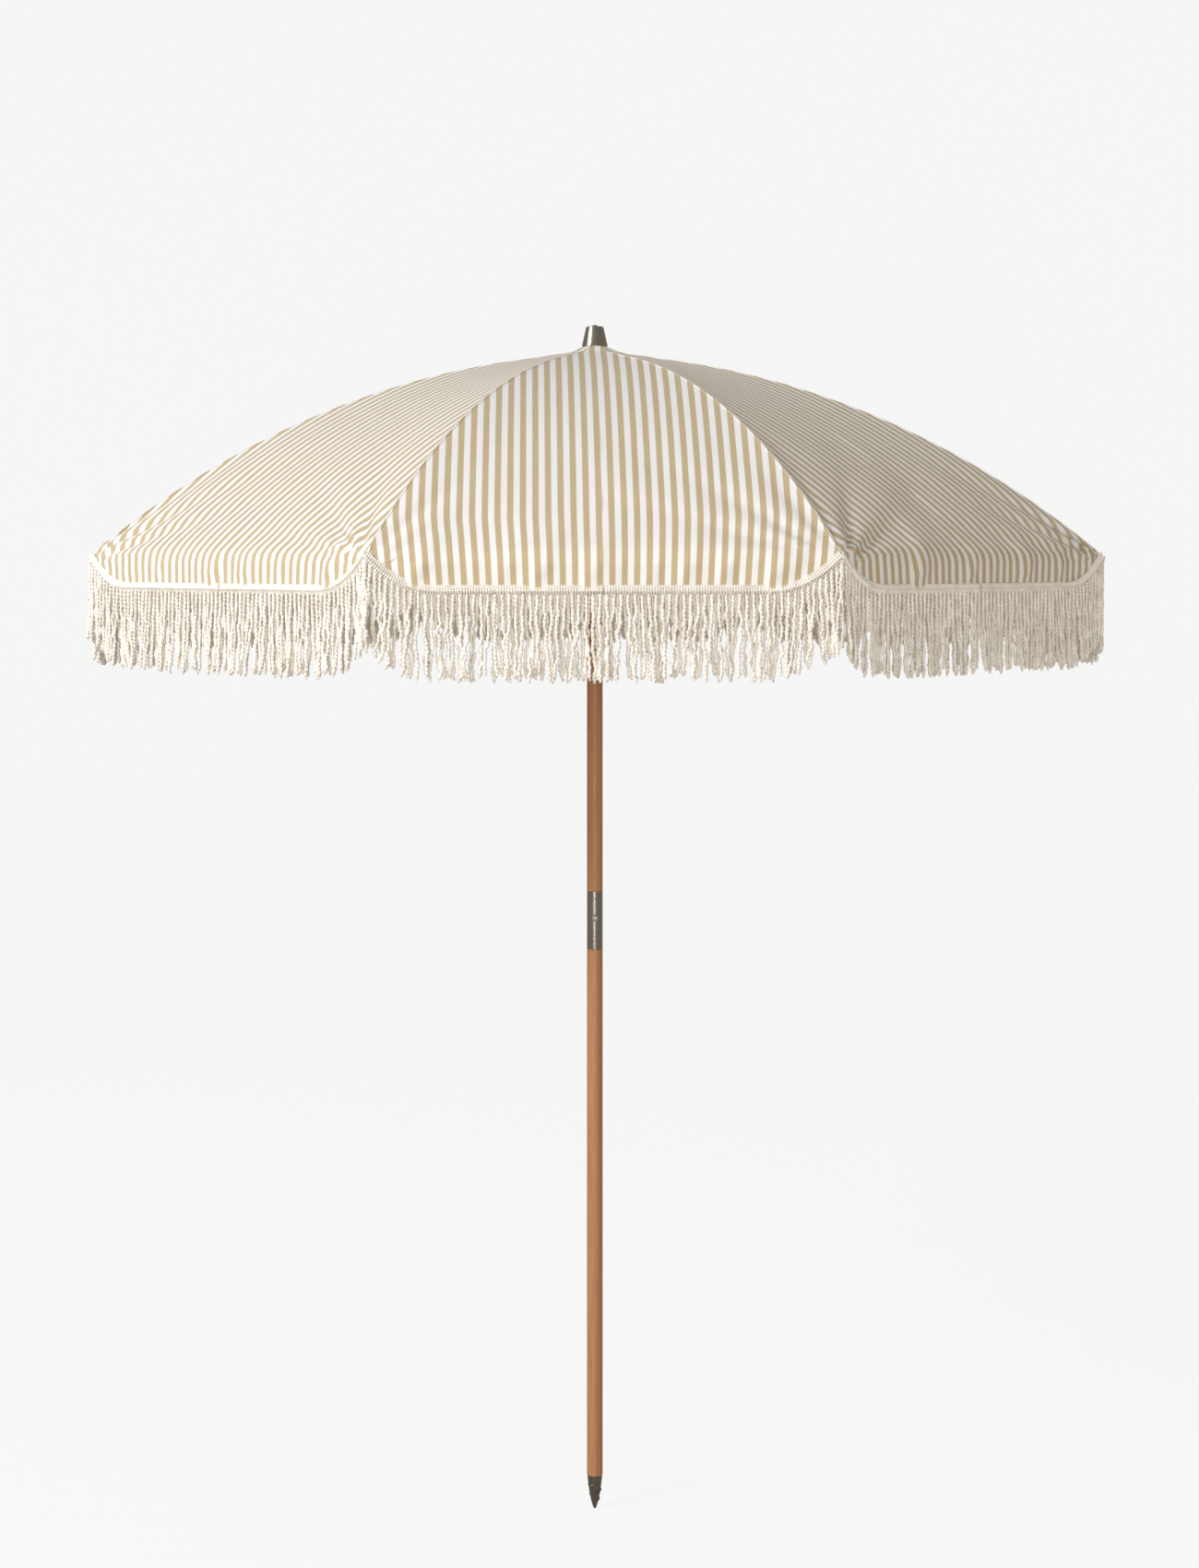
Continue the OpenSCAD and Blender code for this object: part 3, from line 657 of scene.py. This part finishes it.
# ---------------------------------------------------------------- heading braid
def heading_tree():
    """Wraps set side by side along the hem on a tape, with a row of loops on the upper edge."""
    tree, given = new_tree("Heading Braid", [
        ("Height", "Float"), ("Wrap Pitch", "Float"), ("Loop Pitch", "Float"),
        ("Hem Turn", "Float"), ("Material", "Material")])
    height, wrap, loop, turn, material = (given.outputs[k] for k in range(1, 6))
    path = add(tree, "GeometryNodeMeshToCurve", {0: given.outputs[0]}).outputs[0]
    facing = add(tree, "ShaderNodeCombineXYZ", {2: turn}).outputs[0]
    tangent = add(tree, "GeometryNodeInputTangent").outputs[0]

    def along(pitch):
        return add(tree, "GeometryNodeResampleCurve", {"Curve": path, "Length": pitch},
                   mode="LENGTH").outputs[0]

    def aligned():
        return add(tree, "FunctionNodeAlignRotationToVector",
                   {"Rotation": facing, "Vector": tangent}, axis="X").outputs[0]

    ball = add(tree, "GeometryNodeMeshUVSphere", {"Segments": 6, "Rings": 5, "Radius": 0.5}).outputs[0]
    wide = math_node(tree, "MULTIPLY", wrap, 0.88)
    bead_size = add(tree, "ShaderNodeCombineXYZ", {0: wide, 1: 0.0050, 2: height}).outputs[0]
    wraps = add(tree, "GeometryNodeInstanceOnPoints", {
        "Points": along(wrap), "Instance": ball, "Rotation": aligned(), "Scale": bead_size}).outputs[0]

    ring = add(tree, "GeometryNodeCurvePrimitiveCircle", {"Resolution": 8, "Radius": 0.0019}).outputs[0]
    cord = add(tree, "GeometryNodeCurvePrimitiveCircle", {"Resolution": 4, "Radius": 0.0008}).outputs[0]
    hoop = add(tree, "GeometryNodeCurveToMesh", {"Curve": ring, "Profile Curve": cord}).outputs[0]
    upright = add(tree, "GeometryNodeTransform", {"Geometry": hoop, "Rotation": (math.pi / 2, 0, 0),
                                                  "Scale": (1.25, 1.0, 1.0)}).outputs[0]
    raised = add(tree, "GeometryNodeTransform",
                 {"Geometry": upright, "Translation": (0, 0, 0.0060)}).outputs[0]
    loops = add(tree, "GeometryNodeInstanceOnPoints",
                {"Points": along(loop), "Instance": raised, "Rotation": aligned()}).outputs[0]

    tape_half = math_node(tree, "MULTIPLY", height, 0.86)
    tape = add(tree, "GeometryNodeCurvePrimitiveQuadrilateral",
               {"Width": tape_half, "Height": 0.0012}).outputs[0]
    band = add(tree, "GeometryNodeCurveToMesh",
               {"Curve": along(0.006), "Profile Curve": tape, "Fill Caps": True}).outputs[0]
    joined = add(tree, "GeometryNodeJoinGeometry")
    for part in (wraps, loops, band):
        tree.links.new(part, joined.inputs[0])
    close_tree(tree, joined.outputs[0], material)
    return tree


class UMBRELLA_OT_heading(bpy.types.Operator):
    """Makes the braided cotton heading that carries the fringe round the hem"""
    bl_idname = "umbrella.heading"
    bl_label = "Braided Heading"

    def execute(self, context):
        edge = context.scene.umbrella_edge
        cloth = Cloth(context.scene.umbrella_canopy)
        tree = heading_tree()
        cotton = material_for("trim_cotton")
        for i, side, word, rib in half_names():
            base = hem_line("heading_path", i, side, 0.0012,
                            lambda d: float(cloth.heading_top(d)) - edge.heading / 2)
            piece = grow(f"heading_{i}_{word}", base, tree, {
                "Height": edge.heading, "Wrap Pitch": edge.heading_pitch, "Loop Pitch": edge.loop_pitch,
                "Hem Turn": panel_angle(i) - math.pi / 2 if side > 0 else panel_angle(i) + math.pi / 2,
                "Material": cotton})
            hang(piece, side, rib)
        return {"FINISHED"}


# ---------------------------------------------------------------- fringe
def fringe_tree():
    """Cords hung along the hem: each a flat section turned as it runs, swayed by seeded noise."""
    tree, given = new_tree("Twisted Fringe", [
        ("Spacing", "Float"), ("Cord Radius", "Float"), ("Cord Length", "Float"), ("Rings", "Int"),
        ("Sway", "Float"), ("Outward", "Vector"), ("Along", "Vector"), ("Seed", "Int"),
        ("Material", "Material")])
    spacing, radius, length, rings, sway, outward, along, seed, material = (
        given.outputs[k] for k in range(1, 10))

    def vector_math(operation, a, b=None, scale=None):
        node = add(tree, "ShaderNodeVectorMath", {0: a, 1: b}, operation=operation)
        if scale is not None:
            if isinstance(scale, bpy.types.NodeSocket):
                tree.links.new(scale, node.inputs["Scale"])
            else:
                node.inputs["Scale"].default_value = scale
        return node.outputs[0]

    def chance(low, high, who, offset):
        node = add(tree, "FunctionNodeRandomValue",
                   {"Seed": math_node(tree, "ADD", seed, offset), "ID": who}, data_type="FLOAT")
        node.inputs[2].default_value, node.inputs[3].default_value = low, high
        return node.outputs[1]

    index = add(tree, "GeometryNodeInputIndex").outputs[0]
    path = add(tree, "GeometryNodeMeshToCurve", {0: given.outputs[0]}).outputs[0]
    roots = add(tree, "GeometryNodeResampleCurve", {"Curve": path, "Length": spacing},
                mode="LENGTH").outputs[0]
    # odd cords hang a little behind even ones, so that the fringe has depth
    odd = math_node(tree, "MODULO", index, 2.0)
    depth = math_node(tree, "MULTIPLY", math_node(tree, "SUBTRACT", odd, 0.5), -0.0052)
    shuffled = add(tree, "GeometryNodeSetPosition", {
        "Geometry": roots, "Offset": vector_math("SCALE", outward, scale=depth)}).outputs[0]
    line = add(tree, "GeometryNodeCurvePrimitiveLine", {"Start": (0, 0, 0), "End": (0, 0, -1)}).outputs[0]
    strand = add(tree, "GeometryNodeResampleCurve", {"Curve": line, "Count": rings}, mode="COUNT").outputs[0]
    tall = math_node(tree, "MULTIPLY", length, chance(0.93, 1.03, index, 11))
    size = add(tree, "ShaderNodeCombineXYZ", {0: 1.0, 1: 1.0, 2: tall}).outputs[0]
    hung = add(tree, "GeometryNodeInstanceOnPoints",
               {"Points": shuffled, "Instance": strand, "Scale": size}).outputs[0]
    cords = add(tree, "GeometryNodeRealizeInstances", {0: hung}).outputs[0]

    factor = add(tree, "GeometryNodeSplineParameter").outputs[0]
    who = add(tree, "GeometryNodeCurveOfPoint").outputs[0]
    ring = add(tree, "GeometryNodeCurveOfPoint").outputs[1]
    here = add(tree, "GeometryNodeInputPosition").outputs[0]
    root = vector_math("MULTIPLY", here, (1, 1, 0))
    fall = math_node(tree, "POWER", factor, 1.5)

    def wander(vector, scale, gain):
        blob = add(tree, "ShaderNodeTexNoise", {"Vector": vector, "Scale": scale, "Detail": 1.0}).outputs[0]
        return math_node(tree, "MULTIPLY", math_node(tree, "SUBTRACT", blob, 0.5), gain)

    # neighbours lean together into tufts, each cord strays a little, and each has its own kinks
    tuft = wander(root, 46.0, 6.4)
    stray = chance(-1.0, 1.0, who, 23)
    kink = wander(vector_math("ADD", here, vector_math("SCALE", (3.7, 1.9, 5.3), scale=stray)), 42.0, 1.5)
    curl = wander(vector_math("ADD", here, vector_math("SCALE", (9.1, 4.3, 2.7), scale=stray)), 120.0, 0.75)
    kinks = math_node(tree, "ADD", kink, curl)
    sideways = math_node(tree, "ADD", math_node(tree, "MULTIPLY", fall, math_node(tree, "ADD", tuft, stray)),
                         math_node(tree, "MULTIPLY", level(tree, factor, 0.0, 0.35), kinks))
    lean = math_node(tree, "MULTIPLY", fall, math_node(tree, "ADD", wander(root, 31.0, 2.6),
                                                       chance(-0.45, 0.55, who, 37)))
    shift = vector_math("ADD",
                        vector_math("SCALE", along, scale=math_node(tree, "MULTIPLY", sideways, sway)),
                        vector_math("SCALE", outward, scale=math_node(tree, "MULTIPLY", lean, sway)))
    swayed = add(tree, "GeometryNodeSetPosition", {"Geometry": cords, "Offset": shift}).outputs[0]
    # a sixth of a turn for each ring: the flat two-ply section makes the knobs of the twist
    tilt = math_node(tree, "ADD", math_node(tree, "MULTIPLY", ring, math.pi / 3), chance(0, 3.1, who, 41))
    twisted = add(tree, "GeometryNodeSetCurveTilt", {"Curve": swayed, "Tilt": tilt}).outputs[0]
    foot = level(tree, factor, 0.95, 1.0, 1.0, 0.5)
    swell = math_node(tree, "MULTIPLY", level(tree, factor, 0.80, 0.93, 1.0, 1.18), foot)
    lumps = math_node(tree, "ADD", wander(here, 260.0, 0.6), chance(0.86, 1.16, who, 53))
    plump = math_node(tree, "MULTIPLY", swell, lumps)
    sized = add(tree, "GeometryNodeSetCurveRadius", {"Curve": twisted, "Radius": plump}).outputs[0]
    round_cord = add(tree, "GeometryNodeCurvePrimitiveCircle", {"Resolution": 6, "Radius": radius}).outputs[0]
    section = add(tree, "GeometryNodeTransform",
                  {"Geometry": round_cord, "Scale": (1.0, 0.62, 1.0)}).outputs[0]
    solid = add(tree, "GeometryNodeCurveToMesh",
                {"Curve": sized, "Profile Curve": section, "Fill Caps": True})
    if "Scale" in solid.inputs:
        tree.links.new(plump, solid.inputs["Scale"])
    close_tree(tree, solid.outputs[0], material)
    return tree


class UMBRELLA_OT_fringe(bpy.types.Operator):
    """Makes the long twisted cotton cords of the fringe"""
    bl_idname = "umbrella.fringe"
    bl_label = "Twisted Fringe"

    def execute(self, context):
        edge = context.scene.umbrella_edge
        cloth = Cloth(context.scene.umbrella_canopy)
        tree = fringe_tree()
        cotton = material_for("fringe_cotton")
        for i, side, word, rib in half_names():
            a = panel_angle(i)
            base = hem_line("fringe_path", i, side, 0.0004,
                            lambda d: float(cloth.heading_top(d)) - edge.heading * 0.86)
            piece = grow(f"fringe_cords_{i}_{word}", base, tree, {
                "Spacing": edge.cord_spacing, "Cord Radius": edge.cord_radius,
                "Cord Length": edge.cord_length, "Rings": edge.cord_rings, "Sway": edge.sway,
                "Outward": (math.cos(a), math.sin(a), 0.0), "Along": (-math.sin(a), math.cos(a), 0.0),
                "Seed": edge.seed + 10 * i + side, "Material": cotton})
            hang(piece, side, rib)
            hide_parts(f"fringe_{rib}")
        return {"FINISHED"}


# ---------------------------------------------------------------- stitches, ties and pockets
def stitch_tree():
    """Short thread stitches laid end to end along a line."""
    tree, given = new_tree("Seam Stitches", [
        ("Stitch Pitch", "Float"), ("Thread", "Float"), ("Material", "Material")])
    pitch, thread, material = (given.outputs[k] for k in range(1, 4))
    path = add(tree, "GeometryNodeMeshToCurve", {0: given.outputs[0]}).outputs[0]
    spaced = add(tree, "GeometryNodeResampleCurve", {"Curve": path, "Length": pitch},
                 mode="LENGTH").outputs[0]
    tangent = add(tree, "GeometryNodeInputTangent").outputs[0]
    turn = add(tree, "FunctionNodeAlignRotationToVector", {"Vector": tangent}, axis="X").outputs[0]
    bead = add(tree, "GeometryNodeMeshUVSphere", {"Segments": 5, "Rings": 4, "Radius": 0.5}).outputs[0]
    long = math_node(tree, "MULTIPLY", pitch, 0.78)
    size = add(tree, "ShaderNodeCombineXYZ", {0: long, 1: thread, 2: thread}).outputs[0]
    row = add(tree, "GeometryNodeInstanceOnPoints",
              {"Points": spaced, "Instance": bead, "Rotation": turn, "Scale": size}).outputs[0]
    close_tree(tree, row, material)
    return tree


def rib_ways(rib):
    """Directions out along a rib, across it and up."""
    a = rib_angle(rib)
    return (np.array([math.cos(a), math.sin(a), 0]), np.array([-math.sin(a), math.cos(a), 0]),
            np.array([0, 0, 1]))


class UMBRELLA_OT_stitches(bpy.types.Operator):
    """Makes the flat-felled seam over each rib with its two rows of stitches"""
    bl_idname = "umbrella.stitches"
    bl_label = "Rib Seams"

    def execute(self, context):
        edge = context.scene.umbrella_edge
        cloth = Cloth(context.scene.umbrella_canopy)
        tree = stitch_tree()
        stations = np.linspace(0.03, cloth.eave_s - 0.012, 90)
        for rib in range(1, RIBS + 1):
            base = mesh_object("seam_path", *self.rows(cloth, rib, stations), shade=False)
            piece = grow(f"seam_stitches_{rib}", base, tree, {
                "Stitch Pitch": edge.stitch, "Thread": 0.0005, "Material": material_for("trim_cotton")})
            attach(piece, f"rib_{rib}")
            strip = self.strip(cloth, rib, stations)
            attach(strip, f"rib_{rib}")
        return {"FINISHED"}

    def rows(self, cloth, rib, stations):
        """Two lines of stitches, one on each side of the rib; they close up at the neck."""
        out, across, up = rib_ways(rib)
        apart, above = 0.0022, 0.0004 - (0.0022 * 0.02 + 0.0001)
        points = []
        for offset in (-apart, apart):
            for s in stations:
                r, z = cloth.profile(s)
                points.append(out * r + across * offset * smooth((s - 0.02) / 0.05) + up * (z + above))
        n = len(stations)
        edges = [(start + k, start + k + 1) for start in (0, n) for k in range(n - 1)]
        return points, [], None, edges

    def strip(self, cloth, rib, stations):
        """The felled seam itself: a low rounded strip of canvas folded over the rib line."""
        out, across, up = rib_ways(rib)
        section = [(-0.0036, -0.0006), (-0.0032, 0.0000), (-0.0018, 0.0003), (0, 0.0004),
                   (0.0018, 0.0003), (0.0032, 0.0000), (0.0036, -0.0006)]
        verts = []
        for s in stations:
            r, z = cloth.profile(s)
            r2, z2 = cloth.profile(s + 0.002)
            slope = math.atan2(z2 - z, r2 - r)
            keep = smooth((s - 0.015) / 0.06)
            for y, height in section:
                # the panels fall away on both sides of the rib by the angle between them
                lift = height + 0.0001 - abs(y) * keep * 0.06
                verts.append(out * (r - math.sin(slope) * lift) + across * y * keep
                             + up * (z + math.cos(slope) * lift))
        m, n = len(section), len(stations)
        faces = tube_faces(n, m) + [tuple(range(m)), tuple((n - 1) * m + c for c in reversed(range(m)))]
        strip = mesh_object(f"felled_seam_{rib}", verts, faces, material_for("striped_canvas"))
        layer = strip.data.uv_layers.new(name="Cloth")
        for face in strip.data.polygons:
            # the stripes of the panel on that side run on over the seam
            side = 1 if sum(section[v % m][0] for v in face.vertices) > 0 else -1
            for k, v in zip(face.loop_indices, face.vertices):
                s = float(stations[v // m])
                edge_y = -side * (cloth.profile(s)[0] * math.sin(HALF)) + section[v % m][0]
                layer.data[k].uv = (cloth.stripe_place(edge_y, s), s)
        return strip


class UMBRELLA_OT_pockets(bpy.types.Operator):
    """Makes the sewn pocket that holds each rib's tip and the thread ties that hold each rib"""
    bl_idname = "umbrella.pockets"
    bl_label = "Tip Pockets and Ties"

    def execute(self, context):
        cloth = Cloth(context.scene.umbrella_canopy)
        for rib in range(1, RIBS + 1):
            pocket = self.pocket(cloth, rib)
            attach(pocket, f"rib_{rib}")
            ties = self.ties(cloth, rib)
            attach(ties, f"rib_{rib}")
        return {"FINISHED"}

    def pocket(self, cloth, rib):
        """A sleeve of canvas round the end of the rib, gathered at its open mouth."""
        out, across, up = rib_ways(rib)
        long, past_tip, half_width, half_height = 0.034, 0.0028, 0.0074, 0.0040
        turns, rings = 16, 10
        verts, uvs = [], []
        for j in range(rings):
            t = j / (rings - 1)
            length = cloth.rib_length + past_tip - long * t
            r, z = cloth.rib(length)
            r2, z2 = cloth.rib(length - 0.002)
            slope = math.atan2(z2 - z, r - r2)
            lift_way = out * math.sin(slope) + up * math.cos(slope)
            full = 0.35 + 0.65 * math.sin(math.pi * min(1, 0.12 + t * 0.9)) ** 0.5
            for k in range(turns):
                q = math.tau * k / turns
                w = half_width * full * (1 + 0.06 * math.sin(5 * q + rib + 3 * t))
                h = half_height * full * (1 + 0.05 * math.sin(4 * q + 2 * rib))
                verts.append(out * r + up * z + across * w * math.cos(q)
                             + lift_way * (h * math.sin(q) - 0.0006))
                uvs.append((0.0046 + 0.006 * k / turns, long * t))
        faces = tube_faces(rings, turns)
        faces += [tuple((rings - 1) * turns + k for k in reversed(range(turns))), tuple(range(turns))]
        pocket = mesh_object(f"tip_pocket_{rib}", verts, faces, material_for("striped_canvas"))
        cloth_uvs(pocket, uvs.__getitem__)
        return pocket

    def ties(self, cloth, rib):
        """Three turns of cotton thread round the rib at each of three places, up to the seam."""
        out, across, up = rib_ways(rib)
        thread, coil, around, section = 0.0007, 0.0031, 12, 4
        verts, faces = [], []
        for length in (0.22, 0.54, 0.78):
            for turn in range(3):
                r, z = cloth.rib(length + 2 * thread * turn)
                centre = out * r + up * (z + 0.0008)
                faces += tube_faces(around, section, first=len(verts), closed=True)
                for q in np.arange(around) * math.tau / around:
                    ray = across * math.cos(q) + up * math.sin(q)
                    for e in np.arange(section) * math.tau / section:
                        verts.append(centre + ray * (coil + thread * math.cos(e))
                                     + out * thread * math.sin(e))
        return mesh_object(f"rib_ties_{rib}", verts, faces, material_for("trim_cotton"))


class UMBRELLA_OT_finishes(bpy.types.Operator):
    """Gives every wooden, metal and moulded part its finish"""
    bl_idname = "umbrella.finishes"
    bl_label = "Part Finishes"

    def execute(self, context):
        slots = {row["node"]: row["material_slot"] for row in frame["record"]["subparts"]}
        for name, node in frame["nodes"].items():
            if not node.hide_render:
                node.data.materials.clear()
                node.data.materials.append(material_for(slots[name]))
        return {"FINISHED"}


# ---------------------------------------------------------------- stage
class UMBRELLA_OT_stage(bpy.types.Operator):
    """Makes the pale studio bowl, the soft lights and the camera"""
    bl_idname = "umbrella.stage"
    bl_label = "Studio Stage"

    def execute(self, context):
        scene = context.scene
        colours = scene.umbrella_colours
        # Back-lit studio paper: even and pale to the eye, and a dim surround for the umbrella
        material, tree, shader = finish("studio_paper", 0.9)
        shader.inputs["Base Color"].default_value = (0.07, 0.07, 0.07, 1)
        shader.inputs["Specular IOR Level"].default_value = 0.0
        seen = add(tree, "ShaderNodeLightPath").outputs["Is Camera Ray"]
        tree.links.new(mix_colours(tree, seen, (0.41, 0.365, 0.315, 1), linear(colours.backdrop)),
                       shader.inputs["Emission Color"])
        tree.links.new(level(tree, seen, 0.0, 1.0, 0.95, 0.975), shader.inputs["Emission Strength"])
        # a flat floor that sweeps up into a wall, drawn as radius and height
        floor_r, sweep, turns = 6.0, 2.5, 64
        profile = [(0, 0), (1, 0), (2.5, 0), (4.5, 0), (floor_r, 0)]
        profile += [(floor_r + sweep * math.sin(t), sweep - sweep * math.cos(t))
                    for t in np.linspace(0.15, math.pi / 2, 12)]
        profile += [(floor_r + sweep, 4.5), (floor_r + sweep, 7.0)]
        verts, faces = [(0, 0, -0.001)], []
        for r, z in profile[1:]:
            verts += [(r * math.cos(k * math.tau / turns), r * math.sin(k * math.tau / turns), z - 0.001)
                      for k in range(turns)]
        for k in range(turns):
            faces.append((0, 1 + k, 1 + (k + 1) % turns))
        faces += tube_faces(len(profile) - 1, turns, first=1)
        bowl = mesh_object("studio_bowl", verts, faces, material)

        world = bpy.data.worlds.new("studio_air")
        world.use_nodes = True
        world.node_tree.nodes["Background"].inputs[0].default_value = (1.0, 0.95, 0.88, 1)
        world.node_tree.nodes["Background"].inputs[1].default_value = 0.36
        scene.world = world

        def lamp(name, location, target, size, power, tint=(1, 1, 1)):
            light = bpy.data.lights.new(name, "AREA")
            light.shape, light.size, light.energy, light.color = "DISK", size, power, tint
            thing = bpy.data.objects.new(name, light)
            thing.location = location
            thing.rotation_euler = (Vector(target) - Vector(location)).to_track_quat("-Z", "Y").to_euler()
            scene.collection.objects.link(thing)

        lamp("key_softbox", (-4.5, -3.0, 4.3), (0, 0, 1.6), 1.5, 250, (0.97, 0.99, 1.06))
        lamp("front_softbox", (-0.6, -6.0, 1.6), (0, 0, 1.4), 2.4, 134, (1.0, 0.98, 0.96))

        camera = bpy.data.cameras.new("umbrella_camera")
        camera.lens, camera.sensor_width, camera.sensor_fit = 55.6, 36.0, "AUTO"
        # a level camera four fifths of the way up, its picture shifted down to take in the whole pole
        camera.shift_x, camera.shift_y = 0.003, -0.145
        thing = bpy.data.objects.new("umbrella_camera", camera)
        thing.location = (-0.066, -4.32, 1.697)
        thing.rotation_euler = (math.pi / 2, 0, math.radians(-0.875))
        scene.collection.objects.link(thing)
        scene.camera = thing
        scene.view_settings.view_transform = "Standard"
        return {"FINISHED"}


class UMBRELLA_PT_makers(bpy.types.Panel):
    """Lists the sizes, the colours and the makers"""
    bl_label = "Beach Umbrella"
    bl_idname = "UMBRELLA_PT_makers"
    bl_space_type = "VIEW_3D"
    bl_region_type = "UI"
    bl_category = "Umbrella"

    def draw(self, context):
        layout = self.layout
        for group in ("umbrella_canopy", "umbrella_edge", "umbrella_colours"):
            box = layout.box()
            values = getattr(context.scene, group)
            for key in type(values).__annotations__:
                box.prop(values, key)
        for maker in OPERATORS:
            layout.operator(maker.bl_idname)


GROUPS = {"umbrella_canopy": CanopySizes, "umbrella_edge": EdgeSizes, "umbrella_colours": FinishColours}
OPERATORS = [
    UMBRELLA_OT_canopy, UMBRELLA_OT_heading, UMBRELLA_OT_fringe, UMBRELLA_OT_valance,
    UMBRELLA_OT_stitches, UMBRELLA_OT_pockets, UMBRELLA_OT_finishes, UMBRELLA_OT_stage,
]


def register():
    for name, group in GROUPS.items():
        bpy.utils.register_class(group)
        setattr(bpy.types.Scene, name, bpy.props.PointerProperty(type=group))
    for thing in OPERATORS + [UMBRELLA_PT_makers]:
        bpy.utils.register_class(thing)


def unregister():
    for thing in reversed(OPERATORS + [UMBRELLA_PT_makers]):
        bpy.utils.unregister_class(thing)
    for name, group in GROUPS.items():
        delattr(bpy.types.Scene, name)
        bpy.utils.unregister_class(group)


def main():
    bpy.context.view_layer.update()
    register()
    for maker in OPERATORS:
        group, name = maker.bl_idname.split(".")
        getattr(getattr(bpy.ops, group), name)()


if __name__ == "__main__":
    main()
